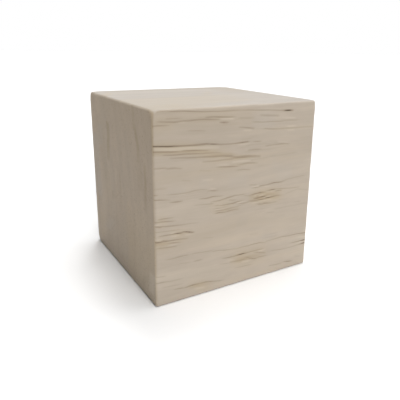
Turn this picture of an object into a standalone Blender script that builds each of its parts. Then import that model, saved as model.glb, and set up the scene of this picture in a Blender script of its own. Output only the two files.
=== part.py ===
"""A balsa wood cube: one block sawn from planed stock, with its edges sanded round by hand.

The grain runs along X, so the two X faces are end grain and the other four are long grain.
The front, at -Y, is the flat-sawn face where the long open pores show.
The origin is the middle of the underside, +Z is up, and sizes are in metres.
"""

import math

import bmesh
import bpy
from mathutils import Matrix, Vector

# A nominal two inch cube, with the saw's small differences from one way to the next
LENGTH_ALONG_GRAIN = 0.0508
DEPTH_ACROSS_GRAIN = 0.0498
HEIGHT_ACROSS_GRAIN = 0.0513

# Sandpaper takes the twelve edges, and the eight corners with them, to this radius
EDGE_ROUNDING = 0.0006
ROUNDING_SEGMENTS = 6

BALSA_COLOUR = (0.52, 0.45, 0.36, 1.0)
BALSA_ROUGHNESS = 0.85

# An edge that turns more than this is one that the saw left, and gets sanded
SHARP_ANGLE = math.radians(30)


def clear_objects():
    """Removes every object that is in the scene."""
    for thing in list(bpy.data.objects):
        bpy.data.objects.remove(thing)


def balsa_material():
    """Pale, dry, unfinished balsa."""
    balsa = bpy.data.materials.new("balsa")
    balsa.use_nodes = True
    shader = balsa.node_tree.nodes["Principled BSDF"]
    shader.inputs["Base Color"].default_value = BALSA_COLOUR
    shader.inputs["Roughness"].default_value = BALSA_ROUGHNESS
    shader.inputs["Metallic"].default_value = 0.0
    return balsa


def sawn_block(name):
    """The block as it leaves the saw, with square edges, centred on its own origin."""
    size = Vector((LENGTH_ALONG_GRAIN, DEPTH_ACROSS_GRAIN, HEIGHT_ACROSS_GRAIN))
    block = bmesh.new()
    bmesh.ops.create_cube(block, size=1.0, matrix=Matrix.Diagonal(size).to_4x4())
    mesh = bpy.data.meshes.new(name)
    block.to_mesh(mesh)
    block.free()
    mesh.shade_smooth()
    return bpy.data.objects.new(name, mesh)


def sand_edges(block):
    """Rounds every edge and corner, and keeps the six faces flat and evenly shaded."""
    rounding = block.modifiers.new("sanded edges", "BEVEL")
    rounding.limit_method = "ANGLE"
    rounding.angle_limit = SHARP_ANGLE
    rounding.offset_type = "OFFSET"
    rounding.width = EDGE_ROUNDING
    rounding.segments = ROUNDING_SEGMENTS
    rounding.profile = 0.5
    rounding.harden_normals = True


def balsa_cube():
    """The finished cube, standing on its underside."""
    cube = sawn_block("balsa_cube")
    cube.location = (0, 0, HEIGHT_ACROSS_GRAIN / 2)
    cube.data.materials.append(balsa_material())
    sand_edges(cube)
    return cube


clear_objects()
collection = bpy.data.collections.new("Balsa cube")
bpy.context.scene.collection.children.link(collection)
collection.objects.link(balsa_cube())
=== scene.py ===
# %% [markdown]
# # A balsa wood cube
#
# The real thing is one block of balsa. It was sawn from planed stock, and its edges were rounded with
# sandpaper. It has no paint, glue or varnish, so all there is to see is the wood itself: the long open
# pores of the front, the calm top, and the two ends where the fibres stop.
#
# The measured block is loaded first. It is the frame that everything below has to fit.

# %% Load the measured block
import math
import random
from collections import namedtuple

import bmesh
import bpy
import numpy as np
from mathutils import Matrix, Vector, noise


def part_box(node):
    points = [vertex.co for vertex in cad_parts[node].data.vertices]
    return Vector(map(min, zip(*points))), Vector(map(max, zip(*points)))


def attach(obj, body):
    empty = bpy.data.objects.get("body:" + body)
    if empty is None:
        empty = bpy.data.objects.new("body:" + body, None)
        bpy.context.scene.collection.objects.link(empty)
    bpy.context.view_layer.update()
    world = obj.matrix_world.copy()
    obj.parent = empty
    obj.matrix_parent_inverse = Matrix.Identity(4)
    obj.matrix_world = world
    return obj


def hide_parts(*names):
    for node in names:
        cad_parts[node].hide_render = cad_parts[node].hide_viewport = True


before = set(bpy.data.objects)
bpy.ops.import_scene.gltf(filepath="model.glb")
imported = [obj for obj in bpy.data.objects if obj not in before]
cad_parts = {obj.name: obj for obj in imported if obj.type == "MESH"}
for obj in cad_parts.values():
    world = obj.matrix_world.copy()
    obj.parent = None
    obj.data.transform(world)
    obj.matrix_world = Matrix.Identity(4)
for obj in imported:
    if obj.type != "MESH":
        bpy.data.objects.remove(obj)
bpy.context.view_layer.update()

MM = 0.001
low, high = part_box("balsa_cube")
size = high - low
middle = (low + high) / 2
print("block of", [round(side / MM, 2) for side in size], "mm, grain along the first side")

# %% [markdown]
# ## Name the sides
#
# Wood looks different from each side, so the six sides get names. Each one faces along an axis. Two more
# axes lie in it, and the second of them runs up or across. `rows` is how finely the side will be ruled
# across the grain. A pore is a quarter of a millimetre wide but many millimetres long, so the front,
# where the pores show best, is ruled most finely, and the end faces get a grid of their own.
#
# `corner` and `share` give each side its place on the square sheet that the mesh is unwrapped on.

# %% Name the sides
Side = namedtuple("Side", "axis way along up rows corner share")
LONG_SHARE = (0.25, 0.5)
END_SHARE = (0.5, 0.5)
SIDES = {
    "front": Side(axis=1, way=-1, along=0, up=2, rows=400, corner=(0.0, 0.5), share=LONG_SHARE),
    "back": Side(axis=1, way=1, along=0, up=2, rows=300, corner=(0.25, 0.5), share=LONG_SHARE),
    "top": Side(axis=2, way=1, along=0, up=1, rows=200, corner=(0.0, 0.0), share=LONG_SHARE),
    "underside": Side(axis=2, way=-1, along=0, up=1, rows=100, corner=(0.25, 0.0), share=LONG_SHARE),
    "left_end": Side(axis=0, way=-1, along=1, up=2, rows=0, corner=(0.5, 0.5), share=END_SHARE),
    "right_end": Side(axis=0, way=1, along=1, up=2, rows=0, corner=(0.5, 0.0), share=END_SHARE),
}
print("sides:", ", ".join(SIDES))

# %% [markdown]
# ## Saw the blank and sand its edges
#
# Sandpaper rounds all twelve edges alike, to a bit over half a millimetre. Bevelling a cube gives that
# shape in one step, with the eight corners rounded too. A modifier could do it, but the pores have to
# be carved into the rounded shape afterwards, so the bevel is made in the mesh.

# %% Saw the blank and sand its edges
EDGE_ROUNDING = 0.6 * MM
ROUNDING_STEPS = 4

blank = bmesh.new()
pit_layer = blank.verts.layers.float.new("pit")
at_size = Matrix.Translation(middle) @ Matrix.Diagonal(size).to_4x4()
bmesh.ops.create_cube(blank, size=1.0, matrix=at_size)
bmesh.ops.bevel(
    blank,
    geom=blank.edges[:],
    offset=EDGE_ROUNDING,
    offset_type="OFFSET",
    segments=ROUNDING_STEPS,
    profile=0.5,
    affect="EDGES",
    material=-1,
)
flat_half = size / 2 - Vector((EDGE_ROUNDING,) * 3)
print("the sanded blank has", len(blank.faces), "faces")

# %% [markdown]
# ## Rule the long grain with fine lines
#
# The two end faces are taken off first, because so many lines across them would be wasted. Then each
# long side is cut into columns along the grain and into its own number of rows across it. Only the
# edges that run straight along an axis are cut, so the rounded corners keep their few faces.

# %% Rule the long grain with fine lines
COLUMNS = 60
HAIR = EDGE_ROUNDING / 100


def runs_along(edge, axis):
    """Whether an edge is one of the long straight ones, and parallel to this axis."""
    run = edge.verts[1].co - edge.verts[0].co
    return abs(run[axis]) > flat_half[axis] and abs(run[axis]) > run.length - HAIR


def out_at(edge, axis, way):
    """Whether an edge lies on this side, or on the rounded ends of it."""
    centre = (edge.verts[0].co + edge.verts[1].co) / 2 - middle
    return centre[axis] * way > flat_half[axis] - HAIR


def rule(edges, strips):
    """Cuts these edges, and the faces between them, into that many strips."""
    bmesh.ops.subdivide_edges(blank, edges=edges, cuts=strips - 1, use_grid_fill=True)


end_faces = [face for face in blank.faces if abs(face.normal.x) > 1 - HAIR and face.calc_area() > MM * MM]
bmesh.ops.delete(blank, geom=end_faces, context="FACES_ONLY")
rule([edge for edge in blank.edges if runs_along(edge, 0)], COLUMNS)
for side in SIDES.values():
    if side.rows:
        straight = [edge for edge in blank.edges if runs_along(edge, side.up)]
        rule([edge for edge in straight if out_at(edge, side.axis, side.way)], side.rows)
print("the ruled sides have", len(blank.faces), "faces")

# %% [markdown]
# ## Close the two ends
#
# On an end the fibres are cut across, and nothing on it is long and thin. A square grid suits it. The
# grid is a little smaller than the opening, and `bridge_loops` joins it to the sides, one edge at a
# time. There each square meets one to four rows. The inner points are shaken a little, so that the
# pores that come next don't stand in rows and columns.

# %% Close the two ends
END_SQUARES = 100
END_JOIN = 0.3 * MM
END_SHAKE = 0.12 * MM
shake = random.Random(4)


def lies_on(edge, axis, place):
    """Whether both ends of an edge are at this place along an axis, measured from the middle."""
    return all(abs(vert.co[axis] - middle[axis] - place) < HAIR for vert in edge.verts)


for name in ("left_end", "right_end"):
    way = SIDES[name].way
    in_place = (
        Matrix.Translation(middle + Vector((way * size.x / 2, 0, 0)))
        @ Matrix.Rotation(math.radians(90 * way), 4, "Y")
        @ Matrix.Diagonal((2 * (flat_half.z - END_JOIN), 2 * (flat_half.y - END_JOIN), 1, 1))
    )
    grid = bmesh.ops.create_grid(
        blank, x_segments=END_SQUARES, y_segments=END_SQUARES, size=0.5, matrix=in_place
    )
    for vert in grid["verts"]:
        if not vert.is_boundary:
            vert.co.y += shake.uniform(-END_SHAKE, END_SHAKE)
            vert.co.z += shake.uniform(-END_SHAKE, END_SHAKE)
    rim = [edge for edge in blank.edges if edge.is_boundary and lies_on(edge, 0, way * size.x / 2)]
    for axis in (1, 2):
        for turn in (-1, 1):
            outer = [edge for edge in rim if lies_on(edge, axis, turn * flat_half[axis])]
            inner = [edge for edge in rim if lies_on(edge, axis, turn * (flat_half[axis] - END_JOIN))]
            bmesh.ops.bridge_loops(blank, edges=outer + inner)
open_edges = sum(edge.is_boundary for edge in blank.edges)
print("with its ends closed it has", len(blank.faces), "faces and", open_edges, "open edges")

# %% [markdown]
# ## Open the pores of the end grain
#
# Balsa carries its water in wide, lonely tubes, a quarter of a millimetre across. Sawn square, they
# are the pinholes that are strewn over an end face. Some of the squares are inset, which leaves a
# smaller square in each, and that is marked now and pushed in when the rest of the surface is carved.

# %% Open the pores of the end grain
END_PORES = 500
END_PORE_RIM = 0.12 * MM
strew = random.Random(7)


def away_from_rim(face):
    """Whether a face of an end lies wholly inside its grid."""
    return all(
        abs(vert.co[axis] - middle[axis]) < flat_half[axis] - END_JOIN - HAIR
        for vert in face.verts
        for axis in (1, 2)
    )


for name in ("left_end", "right_end"):
    way = SIDES[name].way
    squares = [face for face in blank.faces if face.normal.x * way > 1 - HAIR and away_from_rim(face)]
    pits = strew.sample(squares, END_PORES)
    bmesh.ops.inset_individual(blank, faces=pits, thickness=END_PORE_RIM, depth=0, use_even_offset=True)
    for face in pits:
        for vert in face.verts:
            vert[pit_layer] = 1
    print(name, "has", len(pits), "pores among", len(squares), "squares")

# %% [markdown]
# ## Put the block on the frame
#
# The mesh replaces the plain block of the frame. It moves with the one body that there is. Its object
# stays at the origin, with the place in the mesh.

# %% Put the block on the frame
mesh = bpy.data.meshes.new("sanded_block")
blank.to_mesh(mesh)
blank.free()
mesh.shade_smooth()
sanded_block = bpy.data.objects.new("sanded_block", mesh)
bpy.context.scene.collection.objects.link(sanded_block)
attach(sanded_block, "root")
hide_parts("balsa_cube")
triangles = sum(len(face.vertices) - 2 for face in mesh.polygons)
print("the block has", len(mesh.vertices), "points and", triangles, "triangles")

# %% [markdown]
# ## Unwrap the six sides
#
# Each face is laid flat from the side that it looks towards most. The four long sides share the left
# half of the sheet, squeezed along the grain, where the wood changes slowly, so that most of the room
# goes to the fine lines across it. The two ends get the right half.

# %% Unwrap the six sides
SHEET_MARGIN = 0.004


def read(collection, field, width, kind=float):
    """One field of many mesh elements, as an array with a row for each."""
    values = np.empty(len(collection) * width, dtype=kind)
    collection.foreach_get(field, values)
    return values.reshape(-1, width) if width > 1 else values


points = read(mesh.vertices, "co", 3)
from_middle = points - np.array(middle)
normals = read(mesh.polygons, "normal", 3)
facing_axis = np.argmax(np.abs(normals), axis=1)
face_of_corner = np.repeat(np.arange(len(normals)), read(mesh.polygons, "loop_total", 1, int))
corner_places = from_middle[read(mesh.loops, "vertex_index", 1, int)]
sheet = np.zeros((len(corner_places), 2))
for side in SIDES.values():
    mine = (facing_axis == side.axis) & (normals[:, side.axis] * side.way > 0)
    corners = mine[face_of_corner]
    axes = [Vector(np.eye(3)[axis]) for axis in (side.along, side.up, side.axis)]
    mirrored = axes[0].cross(axes[1]).dot(axes[2]) * side.way
    for row, (axis, flip) in enumerate(((side.along, mirrored), (side.up, 1))):
        part = corner_places[corners, axis] / size[axis] * flip + 0.5
        room = side.share[row] - 2 * SHEET_MARGIN
        sheet[corners, row] = side.corner[row] + SHEET_MARGIN + part * room
mesh.uv_layers.new(name="OFBake").data.foreach_set("uv", sheet.ravel())
print("unwrapped, with", [round(float(edge), 3) for edge in (sheet.min(), sheet.max())], "as its reach")

# %% [markdown]
# ## Find which way each point looks
#
# Pores, stains and wear all need to know where a point is on its side. Taking away the nearest point
# of the block's flat core leaves the way straight out of the surface, on the rounded edges too. Its
# square says how much of a point belongs to each side, and the three squares always add up to one.

# %% Find which way each point looks
BARELY_ROUNDED = 0.01

half = np.array(flat_half)
outward = from_middle - np.clip(from_middle, -half, half)
outward /= np.linalg.norm(outward, axis=1, keepdims=True)
from_corner = (points - np.array(low)) / MM
rounded = 1 - (outward**2).max(axis=1)


def belongs(side):
    """How much each point belongs to a side, from 0 to 1."""
    return np.maximum(0, outward[:, side.axis] * side.way) ** 2


print("points on rounded edges:", int((rounded > BARELY_ROUNDED).sum()))

# %% [markdown]
# ## Read the pores of the front
#
# The front is flat sawn, so the saw ran along the water tubes and opened them lengthways. They are the
# brown scratches that make the wood look like balsa. Each is listed as a person would note it with a
# ruler: first how wide it is, then places along it, as millimetres from the left edge, millimetres
# above the floor, and how dark it is there, from 0 to 1. The ruler lay almost half a millimetre too
# low for all of them, and `RULER_SLIP` takes that off again when they are drawn.

# %% Read the pores of the front
RULER_SLIP = {"along": -0.12, "up": -0.44}
FRONT_PORES = (
    # Along the top edge, ending in an open hole
    (0.4, (1.5, 51.4, 0.5), (5, 51.15, 0.65), (10.5, 50.85, 0.6), (15, 50.55, 0.5), (20, 50.4, 0.4),
     (25, 50.3, 0.3)),
    (0.35, (25, 50.3, 0.35), (31, 50, 0.5), (35, 49.75, 0.5), (37.5, 49.65, 0.55), (38.8, 49.55, 0.6)),
    (0.6, (38.8, 49.5, 0.5), (39.6, 49.45, 0.85), (40.3, 49.45, 1), (41.1, 49.45, 1), (41.9, 49.4, 0.85)),
    # The pale strip under the top edge
    (0.5, (2, 48.95, 0.4), (6, 48.55, 0.5), (8, 48.7, 0.5), (12, 48.7, 0.55), (15, 48.6, 0.6),
     (18, 48.4, 0.35)),
    (0.35, (14.8, 49.15, 0.55), (18.5, 48.95, 0.75), (22.5, 48.7, 0.45)),
    (0.4, (0, 47.95, 0.45), (2, 48, 0.5), (3.8, 47.9, 0.35)),
    (0.45, (18.9, 47.6, 0.5), (19.4, 47.55, 0.8), (20.3, 47.5, 0.75), (20.9, 47.5, 0.3)),
    (0.3, (9.8, 46.2, 0.2), (12.5, 46, 0.3), (14, 45.8, 0.2)),
    (0.3, (24.5, 48.3, 0.3), (28.5, 48.1, 0.3)),
    (0.3, (4, 49.5, 0.35), (7, 49.4, 0.3)),
    (0.4, (24.8, 45.9, 0.3), (27, 45.65, 0.5), (28.8, 45.4, 0.45)),
    (0.35, (29.2, 47, 0.4), (32, 46.8, 0.45), (35, 46.7, 0.45), (38.5, 46.55, 0.4)),
    (0.35, (39, 46.75, 0.35), (42, 46.65, 0.35), (44, 46.5, 0.25)),
    (0.8, (31.5, 48.6, 0.25), (34, 48.4, 0.35), (37, 48.2, 0.25)),
    (0.45, (32.6, 44.9, 0.35), (35, 44.65, 0.45), (38, 44.5, 0.4), (41, 44.45, 0.4), (44, 44.4, 0.3),
     (50, 44.2, 0.25)),
    # The long dark pore, and the bundle under it
    (0.6, (-1, 43.3, 0.8), (2, 43.1, 0.85), (5, 42.85, 0.85), (8, 42.6, 0.7), (11, 42.5, 0.7),
     (15, 42.4, 0.7)),
    (0.4, (15, 42.4, 0.7), (16.7, 42.2, 0.95), (19, 41.85, 0.6), (22, 41.8, 0.55), (24.6, 41.8, 0.75)),
    (0.4, (24.6, 41.8, 0.8), (25.5, 41.85, 0.9), (27.3, 41.85, 0.8)),
    (0.35, (29.5, 41.7, 0.3), (30.7, 41.65, 0.55), (31.2, 41.6, 0.4)),
    (0.45, (-1, 41.95, 0.8), (2, 41.7, 0.6), (5, 41.45, 0.65), (6.3, 41.35, 0.3)),
    (0.35, (8, 41.4, 0.35), (10, 41.25, 0.75), (12, 41.05, 0.8), (15, 40.85, 0.4)),
    (0.35, (3, 40.85, 0.5), (5, 40.7, 0.7), (8, 40.5, 0.7), (12, 40.25, 0.6), (13.5, 40.1, 0.5),
     (19, 39.8, 0.25)),
    (0.45, (5, 39.9, 0.3), (8, 39.7, 0.45), (11, 39.35, 0.5), (14, 39.15, 0.5), (17, 38.95, 0.55),
     (20, 38.75, 0.6)),
    (0.6, (20, 38.75, 0.6), (22.3, 38.45, 0.6), (23.5, 38.1, 0.4)),
    (0.9, (22.3, 38.35, 0.35), (23.5, 38, 0.45), (26, 37.9, 0.45), (28, 37.8, 0.5), (31.3, 37.5, 0.35)),
    (0.4, (23.3, 37.85, 0.6), (26.5, 37.75, 0.7), (28, 37.7, 0.5)),
    (0.6, (14, 37.95, 0.3), (18, 37.8, 0.4), (22.5, 37.7, 0.35)),
    (0.55, (27.8, 39.55, 0.35), (29.8, 39.45, 0.45), (31.5, 39.35, 0.3)),
    (0.5, (33.8, 40.05, 0.3), (36, 40.15, 0.3), (38.5, 40.2, 0.5), (40, 40.1, 0.4), (41.5, 39.9, 0.3)),
    (0.5, (0.5, 37.8, 0.3), (3, 37.6, 0.65)),
    (0.5, (3.6, 37.4, 0.4), (5.5, 37.35, 0.45), (7.3, 37.05, 0.3)),
    (0.35, (18.5, 36, 0.5), (20.5, 35.85, 0.7), (22.3, 35.65, 0.7), (24.3, 35.4, 0.35)),
    (0.55, (25, 35.9, 0.3), (27, 35.95, 0.4), (29.2, 35.8, 0.45), (30.2, 35.65, 0.3)),
    (0.35, (13, 35.75, 0.2), (15.5, 35.4, 0.2)),
    (0.4, (24.5, 34.5, 0.3), (26.3, 34.4, 0.4), (28, 34.1, 0.3)),
    (0.3, (8, 33.9, 0.2), (10, 33.5, 0.2)),
    (0.3, (0, 32.6, 0.25), (3, 32.5, 0.25)),
    # The middle of the face, where short pores lie close together
    (0.25, (4.2, 30.7, 0.4), (6.5, 30.55, 0.55), (9.5, 30.5, 0.5), (11, 30.75, 0.5), (13, 30.75, 0.4),
     (14.5, 30.6, 0.3)),
    (0.35, (-1, 31.2, 0.7), (0.6, 31.1, 0.5)),
    (0.3, (-1, 30.15, 0.8), (1.5, 29.85, 0.75), (4, 29.4, 0.35)),
    (0.35, (4.8, 28.7, 0.5), (6.2, 28.55, 0.9), (7.1, 28.5, 0.75)),
    (0.3, (16, 30, 0.4), (16.8, 29.85, 0.9), (17.7, 29.65, 0.5)),
    (0.3, (13.2, 28.25, 0.5), (15, 28, 0.85), (16.2, 28.15, 0.85), (17.5, 28.2, 0.75), (19.3, 28, 0.4)),
    (0.3, (11.8, 26.7, 0.25), (14, 26.55, 0.35), (16.5, 26.35, 0.45)),
    (0.35, (16.5, 26.85, 0.35), (18.7, 26.85, 0.6), (20, 27, 0.55), (21.7, 27.2, 0.85), (24, 27.4, 0.5)),
    (0.35, (24, 27.4, 0.5), (26.5, 27.3, 0.4)),
    (0.3, (22, 26.45, 0.5), (23.5, 26.15, 0.45)),
    (0.25, (27, 26.85, 0.35), (29, 26.45, 0.4)),
    (0.35, (17.8, 25.5, 0.4), (20, 25.3, 0.65), (22.5, 25.25, 0.65), (23.4, 25.25, 0.95),
     (24.6, 25.5, 0.7)),
    (0.35, (24.6, 25.5, 0.7), (26, 25.5, 0.4)),
    (0.25, (17.8, 24.7, 0.5), (19.5, 24.6, 0.4), (21.5, 24.8, 0.3)),
    (0.3, (18, 24.1, 0.5), (20, 23.9, 0.5), (21.5, 24, 0.5), (23.5, 24.1, 0.4), (26, 24.3, 0.4)),
    (0.3, (17.8, 23.3, 0.5), (18.8, 23.4, 0.85), (20.5, 23.2, 0.5), (22, 23.4, 0.8), (24.5, 23.3, 0.35)),
    (0.35, (25, 24.9, 0.55), (27.3, 24.7, 0.6), (29, 24.9, 0.4)),
    (0.8, (28.3, 25.1, 0.3), (30, 24.9, 0.42), (31.5, 24.7, 0.35)),
    (0.25, (28.8, 29.65, 0.4), (30.5, 29.4, 0.5)),
    (0.35, (29.8, 28.7, 0.4), (30.7, 28.65, 0.65), (31.3, 28.6, 0.45), (32.2, 28.85, 0.6),
     (34.8, 28.85, 0.6)),
    (0.35, (34.8, 28.85, 0.6), (36.5, 29.1, 0.85), (38.2, 29.1, 0.8), (39.3, 28.95, 0.75),
     (41.5, 29.4, 0.3)),
    (0.3, (42, 29.5, 0.3), (45, 29.65, 0.35), (48, 29.7, 0.3)),
    (0.4, (29, 26.6, 0.4), (30.1, 26.8, 0.85), (31.2, 26.85, 0.7), (32.3, 26.95, 0.95), (33.7, 26.8, 0.4)),
    (0.4, (35, 27.1, 0.5), (36, 27.1, 0.75), (36.8, 27.15, 1), (37.5, 27.05, 0.5), (40, 26.8, 0.4),
     (46, 26.4, 0.25)),
    (0.35, (37.1, 26.7, 0.3), (37.9, 26.4, 0.5)),
    (0.35, (38.1, 26.65, 0.5), (38.8, 26.5, 0.7), (39.6, 26.4, 0.45)),
    (0.3, (31.4, 26.2, 0.3), (31.8, 26.15, 0.7), (32.1, 26.05, 0.2)),
    (0.45, (30.6, 25.45, 0.7), (31, 25.4, 1), (31.5, 25.4, 0.6)),
    (0.45, (31.5, 25.5, 0.6), (32.6, 25.45, 0.8), (33.4, 25.62, 1), (34.1, 25.5, 0.7)),
    (0.45, (31.5, 24.8, 0.4), (32.4, 24.8, 0.95), (33.1, 24.75, 0.75), (34, 24.8, 0.6)),
    (0.45, (34, 25.05, 0.7), (35.1, 24.97, 0.93), (35.8, 24.9, 0.85), (36.5, 24.95, 0.6),
     (38.2, 25.05, 0.5)),
    (0.4, (38.2, 25.05, 0.5), (39.8, 24.9, 0.3)),
    (0.3, (42, 25.2, 0.2), (46, 25.8, 0.25), (50, 25, 0.25)),
    (0.4, (31.6, 23.7, 0.3), (32.4, 23.4, 0.8), (32.9, 23.25, 0.5)),
    (0.4, (33.4, 23.5, 0.55), (34.1, 23.45, 0.85), (34.8, 23.35, 0.6), (36, 23.2, 0.35), (38, 23.2, 0.25)),
    # The two bundles at the left edge
    (0.45, (1.5, 24.75, 0.4), (3, 24.75, 0.5), (5, 24.6, 0.3)),
    (0.45, (-1, 24.2, 0.4), (1.4, 24.05, 0.45), (3, 23.9, 0.65), (5.2, 23.65, 0.4)),
    (0.4, (0.5, 22.95, 0.7), (1, 22.85, 0.9), (1.6, 22.7, 0.75)),
    (0.4, (2, 22.75, 0.4), (3.3, 22.5, 0.55), (5.8, 22.3, 0.5), (8, 22.1, 0.3), (12, 21.9, 0.2)),
    (0.35, (0.5, 21.5, 0.35), (3, 21.3, 0.4), (7, 20.9, 0.2)),
    (0.4, (1.5, 20.25, 0.4), (3, 20.15, 0.65), (5.2, 20.05, 0.6), (5.9, 20.15, 0.9), (6.6, 20.03, 1),
     (7.5, 19.9, 0.8)),
    (0.45, (7.9, 20.15, 0.6), (8.8, 19.98, 0.9), (9.8, 19.7, 0.95), (10.7, 19.45, 0.8)),
    (0.4, (-1, 18.95, 0.9), (1.5, 18.65, 0.85), (2.2, 18.6, 0.6)),
    (0.4, (2.3, 18.8, 0.8), (3.3, 18.6, 0.85), (4, 18.5, 0.5), (4.6, 18.5, 0.7), (6, 18.35, 0.5),
     (9, 18.1, 0.3)),
    (0.4, (4.3, 17.8, 0.45), (5.8, 17.6, 0.5), (6.9, 17.4, 0.2)),
    (0.35, (1, 17.1, 0.4), (3, 16.8, 0.55), (6, 16.6, 0.4)),
    (0.3, (14.5, 17.1, 0.2), (16.5, 16.7, 0.2)),
    (0.3, (45, 22, 0.2), (47, 21.8, 0.2)),
    (0.3, (35, 20.4, 0.2), (37, 20.2, 0.2)),
    # The low right of the face
    (0.3, (3.6, 13.35, 0.35), (5.5, 13.35, 0.45), (7, 13.45, 0.55), (9.2, 13.35, 0.4)),
    (0.35, (11, 13.35, 0.35), (13, 13.15, 0.4), (15, 12.95, 0.4), (17, 12.9, 0.2)),
    (0.3, (17.5, 12.5, 0.4), (19.2, 12.3, 0.55), (21, 11.95, 0.5), (24, 11.6, 0.3)),
    (0.3, (24.5, 11.5, 0.35), (27, 11.55, 0.4), (29, 11.45, 0.55), (30, 11.65, 0.65), (31, 11.55, 0.6),
     (33, 11.5, 0.6)),
    (0.3, (33, 11.5, 0.6), (34.5, 11.15, 0.4)),
    (0.35, (35.5, 11.4, 0.35), (40, 11.55, 0.45), (44, 11.4, 0.5), (46, 11.35, 0.5), (48.5, 11.15, 0.65),
     (51, 10.9, 0.85)),
    (0.35, (20.3, 9.65, 0.35), (21.9, 9.4, 0.75), (24, 9.35, 0.6), (25.2, 9.35, 0.8)),
    (0.45, (25.2, 9.45, 0.8), (26.1, 9.38, 0.97), (27, 9.4, 1), (27.8, 9.35, 0.75)),
    (0.35, (27.8, 9.35, 0.7), (29, 9.4, 0.45), (31, 9.4, 0.4), (32.5, 9.4, 0.45), (33.6, 9.3, 0.6)),
    (0.35, (45, 8.8, 0.4), (47, 8.6, 0.7), (49, 8.6, 0.85), (50, 8.55, 1), (51, 8.55, 1)),
    (0.5, (49.2, 8.6, 0.9), (51, 8.55, 1)),
    (0.3, (19.5, 8.1, 0.3), (22, 7.7, 0.3)),
    (0.6, (23, 7.8, 0.25), (25, 7.6, 0.35), (27.5, 7.6, 0.3)),
    (0.3, (28.1, 8.1, 0.4), (29.2, 7.6, 0.7), (30, 7.2, 0.8), (31.3, 6.9, 0.8), (32, 6.95, 0.4)),
    (0.3, (33, 7, 0.5), (35, 6.9, 0.4)),
    (0.4, (31.5, 8.75, 0.35), (33, 8.35, 0.5), (34.5, 7.9, 0.45)),
    (0.3, (38, 7.9, 0.3), (40, 7.6, 0.5), (41.5, 7.5, 0.35), (45, 7.4, 0.4), (48, 7.5, 0.5)),
    (0.35, (48, 7.5, 0.5), (49.3, 7.6, 0.95), (51, 7.65, 1)),
    (0.5, (49.5, 7.6, 0.9), (51, 7.65, 1)),
    (0.3, (25, 5.6, 0.3), (28, 5.4, 0.4), (30, 5.3, 0.3)),
    # Along the foot
    (0.3, (7, 11.4, 0.2), (9.5, 11.1, 0.25)),
    (0.5, (11.6, 11, 0.35), (12.9, 11, 0.4)),
    (0.4, (0.2, 9.3, 0.35), (2.5, 8.95, 0.3)),
    (0.45, (-1, 7.5, 0.4), (2, 7.35, 0.5), (4, 7.1, 0.3), (7, 6.9, 0.25)),
    (0.3, (2.5, 5.8, 0.25), (4.5, 5.6, 0.35), (7, 5.3, 0.2)),
    (0.3, (5.5, 4.4, 0.4), (7.2, 4.2, 0.65), (8.3, 3.9, 0.4)),
    (0.35, (9, 4, 0.6), (10.3, 4.1, 0.85), (12, 4, 0.6), (13, 3.9, 0.4), (15, 3.9, 0.7), (16.8, 3.5, 0.7),
     (20, 2.8, 0.3)),
    (0.35, (37, 3.1, 0.35), (39, 2.9, 0.5), (41, 2.9, 0.4)),
    (0.4, (42.2, 3.1, 0.3), (43.5, 2.9, 0.85), (44.5, 2.7, 0.8), (45.2, 2.6, 0.5)),
    (0.3, (47, 3.8, 0.2), (49, 3.4, 0.2)),
)
print("the front has", len(FRONT_PORES), "runs of open pore")

# %% [markdown]
# ## Note the stains and the pale fibres
#
# Around some bundles the wood is stained brown or reddish, and between them a few fibres stay pale.
# Both are noted in the same way as the pores. A stain is broader than the pores that it surrounds.

# %% Note the stains and the pale fibres
FRONT_STAINS = (
    (1.2, (9.5, 3.7, 0.3), (11, 3.7, 0.9), (14, 3.7, 0.8), (17, 3.3, 0.3)),
    (2, (28.5, 25.8, 0.3), (31, 25.8, 0.8), (35, 25.4, 0.8), (39, 25.2, 0.4)),
    (0.7, (29.5, 26.5, 0.6), (32, 26.7, 0.7), (34.5, 26.5, 0.4)),
    (1.2, (17.5, 23.8, 0.4), (20, 23.7, 0.6), (25, 23.8, 0.4)),
    (1.4, (23, 8, 0.4), (26, 7.8, 0.8), (29, 7.8, 0.8), (33, 7.4, 0.3)),
    (1, (0, 18.4, 0.7), (3, 18, 0.7), (7, 17.9, 0.3)),
    (1.2, (0, 41.6, 0.6), (8, 41.3, 0.8), (15, 40.5, 0.5), (19, 39.8, 0.2)),
    (0.8, (13, 39.3, 0.3), (17, 39.3, 0.8), (22, 39, 0.7), (24, 38.6, 0.3)),
    (1, (20, 38.3, 0.3), (25, 37.9, 0.7), (30, 37.7, 0.3)),
    (1, (6, 20.1, 0.3), (10, 19.8, 0.4)),
)
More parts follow.
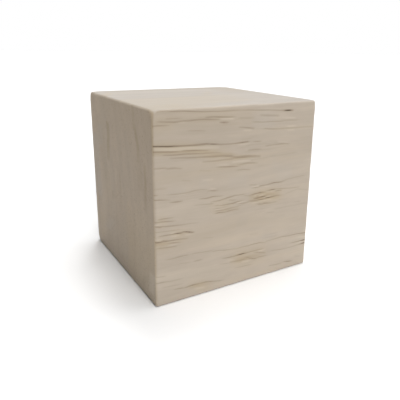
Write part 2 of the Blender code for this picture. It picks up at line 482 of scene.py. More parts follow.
FRONT_PALE_FIBRES = (
    (0.8, (1, 42.4, 0.4), (5, 42, 0.7), (10, 41.8, 0.6), (18, 41.3, 0.3)),
    (0.35, (7, 48.35, 0.4), (8.5, 48.3, 0.4)),
    (0.5, (19.2, 48.5, 0.5), (22.3, 48.35, 0.8)),
    (0.4, (40, 47.3, 0.5), (43, 47.25, 0.5)),
    (0.4, (41, 44.95, 0.6), (43.3, 44.95, 0.6)),
    (0.4, (41, 43.85, 0.5), (43, 43.8, 0.5)),
    (0.4, (26.2, 45, 0.5), (28, 44.9, 0.5)),
    (0.4, (25, 41.3, 0.6), (27.6, 41.3, 0.6)),
    (0.35, (38, 40.8, 0.5), (41, 40.6, 0.5)),
    (0.3, (2.2, 37.6, 0.5), (3.3, 37.55, 0.5)),
    (0.5, (23, 36.8, 0.5), (28, 36.7, 0.6)),
    (0.35, (18.5, 36.55, 0.5), (21, 36.25, 0.6)),
    (0.5, (14, 33.2, 0.4), (16.3, 33, 0.4)),
    # In the middle of the face
    (0.35, (16.2, 30.45, 0.8), (17, 30.4, 0.8)),
    (0.3, (7, 30.3, 0.5), (8.5, 30.3, 0.5)),
    (0.4, (30, 29, 0.8), (31.2, 28.95, 0.8)),
    (0.25, (36.8, 26.9, 0.8), (38.4, 26.85, 0.8)),
    (0.35, (30.6, 26.25, 0.7), (31.4, 26.4, 0.5)),
    (0.4, (32.2, 26.05, 0.9), (33.4, 26.15, 0.7)),
    (0.4, (33.6, 28.6, 0.5), (35, 28.5, 0.5)),
    (0.35, (24.9, 25.1, 0.7), (26, 25.25, 0.8)),
    (0.3, (18.8, 25.6, 0.5), (20.2, 25.5, 0.5)),
    (0.35, (33.5, 25.22, 1), (34.1, 25.17, 1)),
    (0.3, (34.5, 25.45, 0.8), (35.6, 25.35, 0.8)),
    (0.3, (18, 24.4, 0.5), (20, 24.35, 0.5)),
    (0.3, (32, 24.5, 0.6), (34, 24.5, 0.6)),
    (0.35, (35, 24.4, 0.6), (36, 24.4, 0.6)),
    (0.35, (30, 24.2, 0.6), (31, 24.2, 0.6)),
    # At the left edge
    (0.35, (0.2, 23.35, 0.7), (1, 23.3, 0.7)),
    (0.4, (5.2, 19.55, 0.6), (6.2, 19.5, 0.5)),
    (0.35, (4.5, 20.45, 0.5), (5.4, 20.38, 0.6)),
    (0.35, (0.3, 19.45, 0.7), (1.8, 19.3, 0.5)),
    (0.35, (9, 19.1, 0.5), (10.2, 19, 0.5)),
    (0.25, (4.4, 18.05, 0.5), (6, 18, 0.5)),
    (0.25, (4.4, 17.3, 0.5), (6, 17.25, 0.5)),
    # In the low part of the face
    (0.3, (18.5, 12.2, 0.5), (19.8, 12, 0.5)),
    (0.35, (24.5, 10.2, 0.4), (26, 10.1, 0.4)),
    (0.5, (47.5, 10.1, 0.4), (51, 9.6, 0.6)),
    (0.4, (33, 9, 0.9), (34.1, 9, 0.9)),
    (0.35, (22.5, 8.7, 0.5), (23.6, 8.35, 0.5)),
    (0.35, (47.5, 8.25, 0.4), (49, 8.2, 0.8), (51, 8.15, 0.8)),
    (0.5, (27, 6.95, 0.6), (29.2, 6.75, 0.6)),
    (0.5, (12, 2.8, 0.5), (14, 2.4, 0.5)),
)
print(len(FRONT_STAINS), "stains and", len(FRONT_PALE_FIBRES), "pale fibres")

# %% [markdown]
# ## Note the dark bands and the pale patches
#
# A few dark bands stand upright in the left end and bend a little, where the tree was stained as it
# grew. They run through the block along the grain, so both ends have them. The broadest band on the
# ends, which darkens their upper part, and the band along the back edge of the top are painted shade.
# The broadest pale patch on the ends, which lightens their low part, and the pale patch along the foot
# of the front are painted light. The ends are noted from the floor up: millimetres above the floor,
# millimetres from the front edge, and darkness. On the top the second number is the distance from the
# front edge as well.

# %% Note the dark bands and the pale patches
DARK_BANDS_AND_SHADE = {
    "ends": (
        (2, (37, 9.6, 0.4), (41.5, 10, 0.9), (44, 10.8, 1), (47.5, 12.3, 0.6), (52, 12.9, 0.6)),
        (1.5, (25.5, 5.8, 0.3), (29, 5.8, 0.7), (33, 5.4, 0.9), (37, 5.8, 0.6)),
        (3, (30, 9, 0.2), (37, 9.5, 0.3)),
        (1.2, (41, 0.8, 0.4), (46, 0.8, 0.6), (52, 0.8, 0.6)),
        (2.8, (32.5, 34.2, 0.5), (37, 33.8, 0.8), (40, 33.1, 0.8), (43.5, 33.3, 1), (44.5, 33.3, 0.2)),
        (14, (22, 43, 0), (32, 43, 0.22), (52, 43, 0.22)),
        (1, (20, 24.6, 0.3), (28, 24.3, 0.5), (31.5, 24.6, 0.3)),
        (1, (35.8, 22.8, 0.4), (37.2, 22.6, 0.5)),
        (1.8, (21, 31.8, 0.4), (23, 31.8, 0.4)),
        (2.5, (3, 9, 0.5), (5.5, 7.5, 0.5)),
        # Darker towards the top of the ends: painted shade
        (60, (36, 25, 0), (44, 25, 0.2), (52, 25, 0.3)),
    ),
    "top": (
        # Darker along the back edge of the top: painted shade
        (8, (-1, 49, 0.15), (25, 49, 0.18), (52, 48, 0.3)),
    ),
}
PALE_PATCHES_AND_LIGHT = {
    "ends": (
        (4, (3, 3.5, 0.8), (8.5, 2.5, 0.8)),
        (1, (26, 28.5, 0.3), (31, 27.5, 0.3)),
        (1.5, (40, 13.5, 0.2), (44, 13, 0.2)),
        # Lighter towards the foot of the ends: painted light
        (60, (-1, 25, 0.25), (6, 25, 0.2), (14, 25, 0)),
    ),
    "front": (
        # Lighter along the foot of the front: painted light
        (9, (-1, 5.5, 0.3), (12, 5, 0.28), (24, 4, 0.2), (42, 3, 0.1), (52, 3, 0.15)),
    ),
}
print(len(DARK_BANDS_AND_SHADE["ends"]), "dark bands and", len(PALE_PATCHES_AND_LIGHT["ends"]), "pale patches on each end")

# %% [markdown]
# ## Note how the colour drifts
#
# Raw wood is never one colour all over. It is warmer around the bundles of pores, and greyer in the
# calm wood between them. These patches are broad and soft, and they are noted in the same way.

# %% Note how the colour drifts
WARM_PATCHES = {
    "front": (
        (2.6, (0, 42.6, 0.5), (4, 42.4, 0.6), (10, 41.6, 0.6), (16, 39.9, 0.7), (22, 38.5, 0.4),
         (25, 36.5, 0.2)),
        (4, (29, 25.8, 0.4), (33, 25.7, 1), (37.5, 25.4, 0.7), (40, 25.2, 0.3)),
        (3, (16, 25.6, 0.3), (20, 25.4, 0.5), (23, 25, 0.2)),
        (5, (23, 8.4, 0.3), (26, 8.3, 0.8), (29, 8, 0.5), (34, 8, 0.4), (36, 8, 0.1)),
        (2.6, (9.5, 4.4, 0.3), (13, 3.2, 0.9), (16, 2, 0.5)),
        (2.4, (0, 18.2, 0.7), (3, 17.8, 0.6), (4, 17.6, 0.2)),
        (3, (5, 19.8, 0.4), (6.6, 19.4, 0.6), (9, 19, 0.2)),
        (2.4, (1, 24.3, 0.4), (3, 24.3, 0.4)),
        (2.4, (1, 48.6, 0.4), (5, 48.3, 0.4)),
    ),
    "top": (
        (9, (0, 5, 0.5), (8, 5, 0.7), (14, 6, 0.4), (20, 7, 0.2)),
        (5, (0.5, 36, 0.5), (4, 42, 0.5)),
        (4, (27, 23, 0.3), (33, 31, 0.4), (36, 35, 0.2)),
        (18, (-1, 15, 0.4), (24, 15, 0.45), (33, 16, 0.3), (38, 16, 0)),
    ),
    "ends": (
        (6, (20, 36, 0.3), (29, 36, 0.3)),
        (4, (4, 44.5, 0.5), (12, 44, 0.4)),
        (4, (7, 12, 0.4), (12, 10, 0.4)),
        (3, (14, 23, 0.3), (17, 19, 0.3)),
        (3, (16, 1.5, 0.5), (20, 1.5, 0.5)),
        (20, (-1, 10, 0.7), (12, 10, 0.7), (20, 10, 0.3), (26, 10, 0)),
    ),
}
GREY_PATCHES = {
    "front": (
        (5, (29, 47.5, 0.4), (33, 47.5, 0.6), (36, 47, 0.3)),
        (2.5, (4, 31.6, 0.4), (8, 31.4, 0.4)),
        (3, (13, 33, 0.5), (15, 32.5, 0.4)),
        (3, (22, 31.6, 0.4), (27, 31.4, 0.4)),
        (4, (36, 35, 0.3), (39, 32, 0.5), (43, 31.5, 0.4)),
        (3, (25, 19, 0.4), (28, 19.5, 0.3)),
        (3, (34, 13.2, 0.4), (37, 12.8, 0.4)),
    ),
    "top": (
        (10, (38, 14, 0.2), (44, 17, 0.6), (51, 20, 0.8)),
        (6, (8, 47, 0.5), (20, 46, 0.4), (30, 46, 0.5), (51, 43, 0.9)),
    ),
    "ends": (
        (7, (18, 46.5, 0.6), (38, 46.5, 0.6)),
        (5, (36, 42, 0.5), (42, 41, 0.4)),
        (5, (9, 38, 0.5), (13, 34, 0.3)),
    ),
}
for name, patches in WARM_PATCHES.items():
    print(name, "has", len(patches), "warm and", len(GREY_PATCHES[name]), "grey patches")

# %% [markdown]
# ## Note the darker and the lighter wood, and painted light and shade
#
# The growth of good and bad years makes the wood a little darker here and lighter there. Some of these
# patches are painted light and shade instead: the darker top of the front, towards the left, and the
# darker back right of the top are painted shade, and the lighter low parts of the front and of the
# ends are painted light. These patches have the softest edges of all. Some are longer than the block,
# and so they run out over its edges.

# %% Note the darker and the lighter wood, and painted light and shade
SHADED_PATCHES = {
    "front": (
        # Darker along the top of the front, towards the left: painted shade
        (5, (-1, 49, 0.52), (20, 48.8, 0.5), (28, 48.6, 0.35), (33, 48.4, 0)),
        (3.5, (-1, 35, 0.45), (16, 35.2, 0.42), (26, 36.2, 0.32), (36, 37.7, 0.28), (51, 38, 0.22)),
        (4.5, (-1, 17, 0.36), (16, 18, 0.44), (26, 19, 0.48), (36, 17.5, 0.26), (51, 16.2, 0.22)),
    ),
    "top": (
        # Darker towards the back right of the top: painted shade
        (14, (38, 37, 0), (45, 37, 0.28), (52, 37, 0.45)),
    ),
    "ends": (
        (7, (18, 37, 0), (28, 37, 0.25), (36, 37, 0.4), (52, 37, 0.3)),
        (4, (-1, 32, 0.15), (10, 32, 0.2), (30, 32, 0.32), (40, 32, 0.1), (52, 32, 0.2)),
        (4, (5, 22.5, 0.2), (20, 22.5, 0.15), (40, 22.5, 0.2), (46, 22.5, 0)),
        (4, (28, 17.5, 0.1), (35, 17.5, 0.35), (42, 17.5, 0.25), (46, 17.5, 0)),
    ),
}
LIGHT_PATCHES = {
    "front": (
        (4, (-1, 25.8, 0.2), (18, 25.8, 0.3), (24, 27, 0.2), (36, 30.5, 0.15), (51, 32.5, 0.35)),
        (5, (31, 44.5, 0.1), (51, 44.5, 0.2)),
        # Lighter low on the front, towards the foot: painted light
        (5, (-1, 7.5, 0.15), (18, 7.5, 0.15), (28, 7.5, 0)),
        (5, (38, 9, 0.05), (51, 9, 0.22)),
    ),
    "ends": (
        # Lighter low on the ends, near the front: painted light
        (12, (-1, 7, 0.2), (18, 7, 0.15), (26, 7, 0)),
    ),
}
for name, patches in SHADED_PATCHES.items():
    print(name, "has", len(patches), "darker and", len(LIGHT_PATCHES.get(name, ())), "lighter patches")

# %% [markdown]
# ## Strew pores over the hidden sides
#
# The back was sawn from the same plank as the front, so it has the same kind of pores. They are drawn
# by chance, in loose bundles, with the seed fixed so that the block is the same each time. The top and
# the underside are quarter sawn, and only a few faint pores reach them. The front gets some as well,
# too faint to be worth a note of their own.

# %% Strew pores over the hidden sides
BUNDLE_OVERHANG = 5
BUNDLE_SLOPE = (-0.06, 0.03)
BUNDLE_DARKNESS = (0.3, 1)
MOST_IN_BUNDLE = 6
SPREAD_ALONG = 6
SPREAD_UP = 1.8
PORE_LENGTHS = (2, 3, 4, 6, 9, 14)
PORE_WIDTHS = (0.25, 0.3, 0.35, 0.45)
PORE_STEPS = 4
STEP_WANDER = 0.03
STEP_DARKNESS = (0.4, 1)


def strewn_pores(seed, bundles, reach, boldest):
    """Pores by chance, in bundles: each is a width and its places along, as on the front."""
    chance = random.Random(seed)
    pores = []
    for _ in range(bundles):
        bundle_along = chance.uniform(-BUNDLE_OVERHANG, size.x / MM)
        bundle_up = chance.uniform(0, reach)
        slope = chance.uniform(*BUNDLE_SLOPE)
        darkest = boldest * chance.uniform(*BUNDLE_DARKNESS)
        for _ in range(chance.randint(1, MOST_IN_BUNDLE)):
            start = bundle_along + chance.uniform(-SPREAD_ALONG, SPREAD_ALONG)
            start_up = bundle_up + chance.gauss(0, SPREAD_UP)
            length = chance.choice(PORE_LENGTHS)
            places = []
            for step in range(PORE_STEPS + 1):
                stop = start + length * step / PORE_STEPS
                up = start_up + slope * (stop - bundle_along) + chance.gauss(0, STEP_WANDER)
                places.append((stop, up, darkest * chance.uniform(*STEP_DARKNESS)))
            pores.append((chance.choice(PORE_WIDTHS), *places))
    return pores


PORES = {
    "front": [*FRONT_PORES, *strewn_pores(seed=5, bundles=12, reach=size.z / MM, boldest=0.2)],
    "back": strewn_pores(seed=12, bundles=30, reach=size.z / MM, boldest=0.95),
    "top": strewn_pores(seed=31, bundles=10, reach=size.y / MM, boldest=0.22),
    "underside": strewn_pores(seed=8, bundles=14, reach=size.y / MM, boldest=0.4),
}
for name, pores in PORES.items():
    print(name, "has", len(pores), "runs of pore")

# %% [markdown]
# ## Make a pen that follows the grain
#
# Every run becomes a smooth line that wavers a little, as a fibre does. A point takes the darkness of
# the line, and less the further it lies from it. A run fades out at both of its ends over about a
# millimetre, and also where a rounded edge turns to the next side.

# %% Make a pen that follows the grain
END_FADE = 0.8
WAVER = 0.06
WAVER_LENGTH = 1.7
LEAST_SHARE = 0.2
FULL_SHARE = 0.5


def draw(runs, side, soft_edge, slimness=1):
    """How strongly each point of a side is covered by the runs, from 0 to 1."""
    along = from_corner[:, side.along] - RULER_SLIP["along"]
    up = from_corner[:, side.up] - RULER_SLIP["up"]
    share = belongs(side)
    mine = share > LEAST_SHARE
    strength = np.zeros(len(along))
    for number, (width, *places) in enumerate(runs):
        stops, heights, darks = (np.array(column, dtype=float) for column in zip(*places))
        half_width = slimness * width / 2
        reach = half_width + soft_edge + WAVER
        near = mine & (along > stops[0] - END_FADE) & (along < stops[-1] + END_FADE)
        near &= (up > heights.min() - reach) & (up < heights.max() + reach)
        here = along[near]
        slow_wave = np.cos(here / (2 * WAVER_LENGTH) + 2 * number)
        waver = WAVER * np.sin(here / WAVER_LENGTH + number) * slow_wave
        off = np.abs(up[near] - np.interp(here, stops, heights) - waver)
        cover = np.clip((half_width + soft_edge - off) / (2 * soft_edge), 0, 1)
        fade = np.clip(np.minimum(here - stops[0], stops[-1] - here) / END_FADE + 1, 0, 1)
        strength[near] = np.maximum(strength[near], cover * fade * np.interp(here, stops, darks))
    return strength * np.minimum(1, share / FULL_SHARE)


def draw_patches(patches, soft_edge):
    """Draws what was noted for the front, for the top and for both ends, each on its own side."""
    upright_ends = [SIDES[name]._replace(along=2, up=1) for name in ("left_end", "right_end")]
    sides_of = {"front": [SIDES["front"]], "top": [SIDES["top"]], "ends": upright_ends}
    return sum(draw(runs, side, soft_edge) for name, runs in patches.items() for side in sides_of[name])


print("a run fades out over", END_FADE, "mm, and wavers by", WAVER, "mm")

# %% [markdown]
# ## Draw the pores and the patches on the points
#
# Pores are drawn slimmer than they were noted, because their soft edges widen them again, and each has
# a faint halo of stain. Stains and patches have softer edges still. The stains also take the painted
# shade among the dark bands and the darker patches, the grey patches take that of the darker patches
# too, and the pale fibres take the painted light among the pale and lighter patches. The result is kept
# in the mesh as named attributes, which the material reads later.

# %% Draw the pores and the patches on the points
PORE_SLIMNESS = 0.72
PORE_EDGE = 0.12
FIBRE_EDGE = 0.2
STAIN_EDGE = 0.5
PALE_EDGE = 0.8
PATCH_EDGE = 1.2
BROAD_EDGE = 2
HALO_WIDTH = 0.6
HALO_STRENGTH = 0.3
BAND_STRENGTH = 1.25
JUST_VISIBLE = 0.1

open_pore = sum(draw(runs, SIDES[name], PORE_EDGE, PORE_SLIMNESS) for name, runs in PORES.items())
halo = np.zeros(len(points))
for name, runs in PORES.items():
    widened = [(width + HALO_WIDTH, *places) for width, *places in runs]
    halo += draw(widened, SIDES[name], STAIN_EDGE)
stain_and_shade = np.maximum(HALO_STRENGTH * halo, draw(FRONT_STAINS, SIDES["front"], STAIN_EDGE))
shaded = draw_patches(SHADED_PATCHES, BROAD_EDGE)
# Dark bands and darker patches, partly painted shade, go in with the stains
stain_and_shade += BAND_STRENGTH * draw_patches(DARK_BANDS_AND_SHADE, STAIN_EDGE) + shaded
# Pale fibres and pale patches, with painted light among the patches
pale_fibre_and_light = draw(FRONT_PALE_FIBRES, SIDES["front"], FIBRE_EDGE) + draw_patches(PALE_PATCHES_AND_LIGHT, PALE_EDGE)
pale_fibre_and_light += draw_patches(LIGHT_PATCHES, BROAD_EDGE)
warm_patch = draw_patches(WARM_PATCHES, PATCH_EDGE)
# Grey patches, and the painted shade of the darker patches
grey_patch_and_shade = draw_patches(GREY_PATCHES, PATCH_EDGE) + shaded
end_grain = belongs(SIDES["left_end"]) + belongs(SIDES["right_end"])
# The quarter-sawn top and underside. The grey laid on them is also painted sheen on the top.
quarter_sawn_and_sheen = belongs(SIDES["top"]) + belongs(SIDES["underside"])
pit = read(mesh.attributes["pit"].data, "value", 1)
for name, values in (
    ("open_pore", open_pore),
    ("stain_and_shade", stain_and_shade),
    ("pale_fibre_and_light", pale_fibre_and_light),
    ("warm_patch", warm_patch),
    ("grey_patch_and_shade", grey_patch_and_shade),
    ("end_grain", end_grain),
    ("quarter_sawn_and_sheen", quarter_sawn_and_sheen),
):
    mesh.attributes.new(name, "FLOAT", "POINT").data.foreach_set("value", values.astype(np.float32))
    percentage = 100 * float((values > JUST_VISIBLE).mean())
    print(name, "covers", round(percentage, 1), "per cent of the points")

# %% [markdown]
# ## Carve the surface
#
# Now the points are moved, and only ever inwards, so that the flats stay in the frame's planes and the
# block keeps its size. An open pore is a groove of not quite a tenth of a millimetre. The saw and the
# sandpaper leave the softer wood a hair lower than the harder wood, and they wear each edge a little
# unevenly. Balsa is so soft that a knock rounds a corner, and the near top corner has had the most.
# A worn corner is pressed in as a whole, towards the middle of the block, and so it stays round.

# %% Carve the surface
PORE_DEPTH = 0.08
PIT_DEPTH = 0.05
SOFT_WOOD_DEPTH = 0.01
EDGE_WEAR = 0.16
WORN_CORNERS = {
    (0, 0, 1): 1,
    (0, 1, 1): 0.3,
    (1, 0, 1): 0.2,
    (1, 1, 1): 0.4,
    (0, 1, 0): 0.5,
    (1, 1, 0): 0.4,
}
CORNER_REACH = 2.8
CORNER_FALL_OFF = 1.5


def rolling(seed, along_length, across_length):
    """Smooth chance from -1 to 1 at every point, drawn out along the grain."""
    scale = (1 / along_length, 1 / across_length, 1 / across_length)
    shift = Vector((seed, seed, seed))
    return np.array([noise.noise(Vector(place * scale) + shift) for place in from_corner])


soft_wood = np.clip(0.5 + rolling(seed=3, along_length=25, across_length=1.5), 0, 1)
uneven = np.clip(0.5 + rolling(seed=11, along_length=3, across_length=3), 0, 1)
depth = PORE_DEPTH * open_pore + SOFT_WOOD_DEPTH * soft_wood * (1 - end_grain)
depth += EDGE_WEAR * rounded * uneven
depth += PIT_DEPTH * pit
pressed_in = np.zeros_like(points)
for corner, wear in WORN_CORNERS.items():
    to_corner = np.array(corner) * np.array(size) / MM - from_corner
    nearness = np.clip(1 - np.linalg.norm(to_corner, axis=1) / CORNER_REACH, 0, 1)
    diagonal = (1 - 2 * np.array(corner)) / math.sqrt(3)
    pressed_in += (wear * nearness**CORNER_FALL_OFF)[:, None] * diagonal
carved = points + (pressed_in - outward * depth[:, None]) * MM
mesh.vertices.foreach_set("co", carved.ravel())
mesh.update()
print("deepest carving", round(float(depth.max()), 3), "mm, mean", round(float(depth.mean()), 3), "mm")

# %% [markdown]
# ## Write shader sums as sums
#
# A material is a web of nodes, and a sum in it takes one node for each sign. `Wire` wraps the output of
# a node, so that such a sum can be written like any other in Python, and it adds the nodes by itself.
# `Web.add` makes every other kind of node: its type, then its settings, then what goes into it.

# %% Write shader sums as sums
class Wire:
    """The output of a node, which can stand in a sum like a number."""

    def __init__(self, web, socket):
        self.web = web
        self.socket = socket

    def maths(self, operation, *values):
        return self.web.add("ShaderNodeMath", {"operation": operation}, dict(enumerate(values)))

    def __add__(self, other):
        return self.maths("ADD", self, other)

    def __sub__(self, other):
        return self.maths("SUBTRACT", self, other)

    def __mul__(self, other):
        return self.maths("MULTIPLY", self, other)

    def __pow__(self, other):
        return self.maths("POWER", self, other)

    def __rsub__(self, other):
        return self.maths("SUBTRACT", other, self)

    __radd__ = __add__
    __rmul__ = __mul__


class Web:
    """The nodes of one material or of the world, emptied and built up again."""

    def __init__(self, tree):
        self.tree = tree
        tree.nodes.clear()

    def add(self, kind, settings=None, values=None, output=0):
        """Adds a node, applies its settings, fills or links its sockets, and returns one output."""
        node = self.tree.nodes.new(kind)
        for name, setting in (settings or {}).items():
            setattr(node, name, setting)
        for name, value in (values or {}).items():
            if isinstance(value, Wire):
                self.tree.links.new(value.socket, node.inputs[name])
            else:
                node.inputs[name].default_value = value
        return Wire(self, node.outputs[output]) if node.outputs else None


def colour(red, green, blue):
    """A colour read off a screen, from 0 to 255, as light for a shader, by the sRGB curve."""
    parts = [value / 255 for value in (red, green, blue)]
    linear = [part / 12.92 if part <= 0.04045 else ((part + 0.055) / 1.055) ** 2.4 for part in parts]
    return (*linear, 1)


balsa = bpy.data.materials.new("balsa_bare_wood")
balsa.use_nodes = True
wood = Web(balsa.node_tree)
print("ready to mix", balsa.name)

# %% [markdown]
# ## Draw the wood out along its fibres
#
# Everything in wood is long one way and short the other two. A noise that is stretched along X gives
# that: on the long sides it makes fine lines, and on the ends, where the same lines are cut across, it
# makes dots. The pattern is solid, so it runs over an edge from one side to the next as real wood does.
#
# No trunk grows quite straight. The places are therefore swayed up and down a little before the noise
# is read, by a noise that is slower still, and the lines rise and fall along the block.

# %% Draw the wood out along its fibres
SWAY = 5

object_place = wood.add("ShaderNodeTexCoord", output="Object")
in_mm = wood.add("ShaderNodeVectorMath", {"operation": "SCALE"}, {0: object_place, "Scale": 1 / MM})


def fibres(along_length, across_length, place, detail=2, output="Fac"):
    """Noise from 0 to 1 in streaks of this length and breadth, in millimetres."""
    squeeze = (1 / along_length, 1 / across_length, 1 / across_length)
    streaked = wood.add("ShaderNodeVectorMath", {"operation": "MULTIPLY"}, {0: place, 1: squeeze})
    values = {"Vector": streaked, "Scale": 1, "Detail": detail}
    return wood.add("ShaderNodeTexNoise", {"noise_dimensions": "3D"}, values, output=output)


def between(wire, start, end):
    """A smooth step from 0 at the start to 1 at the end."""
    values = {"Value": wire, "From Min": start, "From Max": end}
    return wood.add("ShaderNodeMapRange", {"interpolation_type": "SMOOTHSTEP"}, values)


def dye(factor, under, over):
    """The colour under, with the colour over laid on it where the factor is 1."""
    return wood.add("ShaderNodeMix", {"data_type": "RGBA"}, {0: factor, 6: under, 7: over}, output=2)


def painted(name):
    """An attribute that was drawn on the points."""
    return wood.add("ShaderNodeAttribute", {"attribute_name": name}, output="Fac")


def swing(pattern, strength):
    """A pattern from 0 to 1 as a change up or down, by up to half of this strength."""
    return (pattern - 0.5) * strength


sway = fibres(along_length=40, across_length=14, place=in_mm, detail=1, output="Color")
grown = wood.add(
    "ShaderNodeVectorMath", {"operation": "MULTIPLY_ADD"}, {0: sway, 1: (0, SWAY, SWAY), 2: in_mm}
)
clouds = fibres(along_length=50, across_length=12, place=grown)
streaks = fibres(along_length=45, across_length=2.2, place=grown, detail=3)
threads = fibres(along_length=9, across_length=0.4, place=grown)
ends = painted("end_grain")
print("three scales of streak, from 12 mm down to 0.4 mm")

# %% [markdown]
# ## Let it grow in rings
#
# This block was cut far out from the heart of the tree, so its rings are nearly flat, and they cross
# the end face from top to bottom. The rings are a noise that depends on nothing but the distance from
# the heart, which gives years of uneven width. A second, finer one gives the thin bands of late wood
# inside each ring, which show on the ends.

# %% Let it grow in rings
HEART_Y = 82
HEART_Z = 14
RING_WIDTH = 5
LATE_WOOD_WIDTH = 2.4
RING_WANDER = 4

across, up = (wood.add("ShaderNodeSeparateXYZ", None, {0: in_mm}, output=axis) for axis in ("Y", "Z"))
wander = fibres(along_length=80, across_length=16, place=in_mm, detail=1)
from_heart = ((across - HEART_Y) ** 2 + (up - HEART_Z) ** 2) ** 0.5 + wander * RING_WANDER
rings, late_wood = (
    wood.add(
        "ShaderNodeTexNoise",
        {"noise_dimensions": "1D"},
        {"W": from_heart * (1 / width), "Scale": 1, "Detail": 1},
    )
    for width in (RING_WIDTH, LATE_WOOD_WIDTH)
)
print("rings about", RING_WIDTH, "mm apart")

# %% [markdown]
# ## Mix the shades of the wood
#
# Fresh balsa is a pale, greyish tan. The streaks and rings move it only a little, from a warmer to a
# paler shade. The quarter-sawn sides cut along the rays, which are greyer, and the ends are browner,
# because the light goes down between the cut fibres. The grey laid on the quarter-sawn sides is also
# painted sheen, which makes the top paler and greyer, as light glancing low off it would. The grey
# patches and the stains also lay painted shade, and the pale fibres painted light, where the patches
# noted above call for it. The pores are open to dust, so they are brown, and where they are deepest
# they are painted black, as painted shade inside the open holes.

# %% Mix the shades of the wood
PALE_WOOD = colour(201, 188, 172)
TAN_WOOD = colour(173, 160, 144)
WARM_WOOD = colour(190, 168, 128)
# The grey wood and the stained wood also lay painted shade, the ray grey painted sheen, and the pale fibre
# painted light.
GREY_WOOD_AND_SHADE = colour(182, 173, 162)
RAY_GREY_AND_SHEEN = colour(180, 177, 173)
END_BROWN = colour(185, 163, 135)
STAINED_WOOD_AND_SHADE = colour(157, 136, 103)
PALE_FIBRE_AND_LIGHT = colour(214, 202, 184)
PORE_BROWN = colour(116, 97, 72)
# Black for painted shade inside the deepest open pores
PORE_SHADE_BLACK = colour(58, 44, 28)
# What was drawn on the points, how strongly it dyes the wood, and with which shade
LAYERS = (
    # Grey of the quarter-sawn wood, and painted sheen on the top
    ("quarter_sawn_and_sheen", 0.5, RAY_GREY_AND_SHEEN),
    ("end_grain", 0.5, END_BROWN),
    ("warm_patch", 0.36, WARM_WOOD),
    # Grey wood, and painted shade
    ("grey_patch_and_shade", 0.6, GREY_WOOD_AND_SHADE),
    # Real stains and dark bands, and painted shade
    ("stain_and_shade", 0.45, STAINED_WOOD_AND_SHADE),
    # Pale fibres and patches, and painted light
    ("pale_fibre_and_light", 0.55, PALE_FIBRE_AND_LIGHT),
)
print("plain wood in two tones, and", len(LAYERS), "layers over it")

# %% [markdown]
# ## Colour the wood
#
# The shades are laid over each other like thin dyes: first the plain wood with its streaks, then the
# patches and stains, and last the pores. Most of the cut tubes on the ends are too small to carve. A
# Voronoi pattern drawn out along the grain stands for them, as faint brown dots.

# %% Colour the wood
MIDDLE_TONE = 0.5
WARM_STREAKS = 0.12
PORE_FAINTEST = 0.42
BLACK_FROM = 0.64
TUBES_PER_MM = (0.03, 1.25, 1.25)
TUBE_STRENGTH = 0.36
PIT_STRENGTH = 0.15

split = fibres(along_length=5, across_length=0.22, place=grown)
mottle = fibres(along_length=6, across_length=1.8, place=in_mm)
pore = painted("open_pore")
tone = MIDDLE_TONE + swing(streaks, strength=0.4) + swing(clouds, strength=0.8)
tone += swing(threads, strength=0.18) + swing(rings, strength=0.5)
tone += swing(mottle, strength=0.25) + swing(late_wood, strength=0.28) * ends
body = dye(between(tone, start=0, end=1), TAN_WOOD, PALE_WOOD)
body = dye(between(clouds + streaks, start=0.9, end=1.3) * WARM_STREAKS, body, WARM_WOOD)
for name, strength, shade in LAYERS:
    body = dye(painted(name) * strength, body, shade)
body = dye(pore * (PORE_FAINTEST + split * (1 - PORE_FAINTEST)), body, PORE_BROWN)
# Black in the deepest open pores: painted shade inside the holes
body = dye(between(pore, start=BLACK_FROM, end=1), body, PORE_SHADE_BLACK)
tubes = wood.add("ShaderNodeVectorMath", {"operation": "MULTIPLY"}, {0: in_mm, 1: TUBES_PER_MM})
from_tube = wood.add("ShaderNodeTexVoronoi", None, {"Vector": tubes, "Scale": 1}, output="Distance")
in_tube = 1 - between(from_tube, start=0.08, end=0.26)
body = dye(in_tube * ends * TUBE_STRENGTH, body, PORE_BROWN)
body = dye(painted("pit") * PIT_STRENGTH, body, PORE_BROWN)
print("the colour takes", len(wood.tree.nodes), "nodes")

# %% [markdown]
# ## Make it matt and a little furry
#
# Sanded balsa has no gloss. It is rough all over, with the finest fibres as a shallow relief that is
# too small to carve, so a Bump node stands for it. The sheen is the pale bloom that short loose
# fibres give to the top, where the light and the eye both come in low.

# %% Make it matt and a little furry
ROUGHNESS = 0.8
SHEEN = 0.15
FUZZ_HEIGHT = 0.06 * MM
FUZZ_STRENGTH = 0.5

fuzz = fibres(along_length=3, across_length=0.25, place=grown, detail=3)
end_fuzz = fibres(along_length=0.5, across_length=0.25, place=in_mm)
relief = fuzz * (1 - ends) + end_fuzz * ends
bump = wood.add(
    "ShaderNodeBump",
    None,
    {"Strength": FUZZ_STRENGTH, "Distance": FUZZ_HEIGHT, "Height": relief},
    output="Normal",
)
surface = wood.add(
    "ShaderNodeBsdfPrincipled",
    None,
    {
        "Base Color": body,
        "Roughness": ROUGHNESS + swing(fuzz, strength=0.15),
        "Sheen Weight": SHEEN,
        "Normal": bump,
    },
)
wood.add("ShaderNodeOutputMaterial", None, {"Surface": surface})
mesh.materials.append(balsa)
print("the block is finished in", mesh.materials[0].name)

# %% [markdown]
# ## Stand it on a plain floor
#
# The floor is a large sheet of white paper. It takes the shadow, and it throws light back on the shaded
# end. Paper sends back four fifths of the light. To the camera it is made fully white, as a picture of
# a product on white paper usually is, and the block still gets only what real paper gives.

# %% Stand it on a plain floor
FLOOR_REACH = 6.0
PAPER_WHITENESS = 0.8


def seen_directly(web):
    """Is 1 where the camera sees a thing, also by reflection or through glass, and otherwise 0."""
    rays = ("Is Camera Ray", "Is Glossy Ray", "Is Transmission Ray")
    camera_ray, glossy_ray, transmitted_ray = (web.add("ShaderNodeLightPath", output=ray) for ray in rays)
    return camera_ray + glossy_ray + transmitted_ray


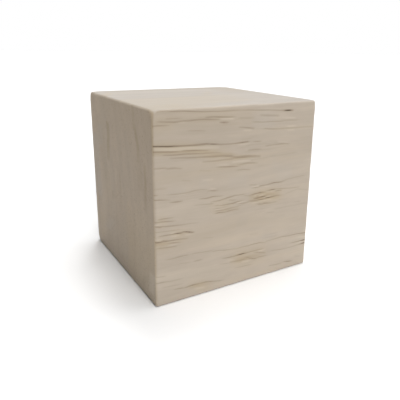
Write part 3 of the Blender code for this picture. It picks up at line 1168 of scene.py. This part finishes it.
sheet_mesh = bmesh.new()
bmesh.ops.create_grid(sheet_mesh, x_segments=1, y_segments=1, size=FLOOR_REACH)
floor_mesh = bpy.data.meshes.new("floor")
sheet_mesh.to_mesh(floor_mesh)
sheet_mesh.free()
floor = bpy.data.objects.new("floor", floor_mesh)
bpy.context.scene.collection.objects.link(floor)
paper = bpy.data.materials.new("white_paper")
paper.use_nodes = True
paper_web = Web(paper.node_tree)
whiteness = PAPER_WHITENESS + seen_directly(paper_web) * (1 - PAPER_WHITENESS)
matt_white = paper_web.add("ShaderNodeBsdfDiffuse", None, {"Color": whiteness})
paper_web.add("ShaderNodeOutputMaterial", None, {"Surface": matt_white})
floor_mesh.materials.append(paper)
print("a floor of", 2 * FLOOR_REACH, "m")

# %% [markdown]
# ## Light it softly
#
# Three lamps hang high over the block. The broad one, to the right, makes the top the brightest side
# and throws a short soft shadow to the left, and two small ones sharpen that shadow near the foot. A
# low one lights the front. Each is a sun lamp, which gives the same light everywhere, so the paper
# stays white to its far edge. The world adds very little, and where the camera sees it, it is white.

# %% Light it softly
WORLD_STRENGTH = 0.03


def distant_lamp(name, strength, spread, height, bearing):
    """A sun lamp as wide as its spread, seen at a height above the floor and a bearing from +X."""
    lamp = bpy.data.lights.new(name, "SUN")
    lamp.energy = strength
    lamp.angle = math.radians(spread)
    tilt = Matrix.Rotation(math.radians(90 - height), 4, "Y")
    turn = Matrix.Rotation(math.radians(bearing), 4, "Z")
    holder = bpy.data.objects.new(name, lamp)
    holder.matrix_world = turn @ tilt
    bpy.context.scene.collection.objects.link(holder)


distant_lamp("overhead_wide", strength=2.05, spread=50, height=76, bearing=0)
distant_lamp("overhead_small", strength=0.35, spread=12, height=83, bearing=-120)
distant_lamp("back_small", strength=0.65, spread=12, height=68, bearing=60)
distant_lamp("front_fill", strength=1.45, spread=30, height=30, bearing=-90)

surroundings = bpy.data.worlds.new("studio")
bpy.context.scene.world = surroundings
surroundings.use_nodes = True
studio = Web(surroundings.node_tree)
soft_light = studio.add("ShaderNodeBackground", None, {"Color": (1, 1, 1, 1), "Strength": WORLD_STRENGTH})
white_sheet = studio.add("ShaderNodeBackground", None, {"Color": (1, 1, 1, 1), "Strength": 1})
sky = studio.add("ShaderNodeMixShader", None, {0: seen_directly(studio), 1: soft_light, 2: white_sheet})
studio.add("ShaderNodeOutputWorld", None, {"Surface": sky})
print("four lamps and a world of", WORLD_STRENGTH)

# %% [markdown]
# ## Look at it
#
# The camera looks at the front and the left end from a little above. It stands less than three edge
# lengths from the middle of the block. That is close, so the upright edges lean together towards the
# floor.

# %% Look at it
CAMERA_PLACE = Vector((-65.29, -118.24, 64.84)) * MM
CAMERA_TURN = math.radians(31.44)
CAMERA_DIP = math.radians(15.93)
CAMERA_ROLL = math.radians(0.85)
LENS = 39.64
LENS_SHIFT = (-0.0375, -0.0625)
NEAREST_SEEN = 5 * MM
FARTHEST_SEEN = 3 * FLOOR_REACH

camera_data = bpy.data.cameras.new("camera")
camera_data.lens = LENS
camera_data.shift_x, camera_data.shift_y = LENS_SHIFT
camera_data.clip_start = NEAREST_SEEN
camera_data.clip_end = FARTHEST_SEEN
camera = bpy.data.objects.new("camera", camera_data)
turned = Matrix.Rotation(-CAMERA_TURN, 4, "Z")
dipped = Matrix.Rotation(math.radians(90) - CAMERA_DIP, 4, "X")
rolled = Matrix.Rotation(CAMERA_ROLL, 4, "Z")
camera.matrix_world = Matrix.Translation(CAMERA_PLACE) @ turned @ dipped @ rolled
bpy.context.scene.collection.objects.link(camera)
bpy.context.scene.camera = camera
print("the camera is", round((CAMERA_PLACE - middle).length / MM), "mm from the middle of the block")

# %% [markdown]
# ## Keep the colours as they were mixed
#
# Colours stay as they were mixed, with no film look on top.

# %% Keep the colours as they were mixed
bpy.context.scene.view_settings.view_transform = "Standard"
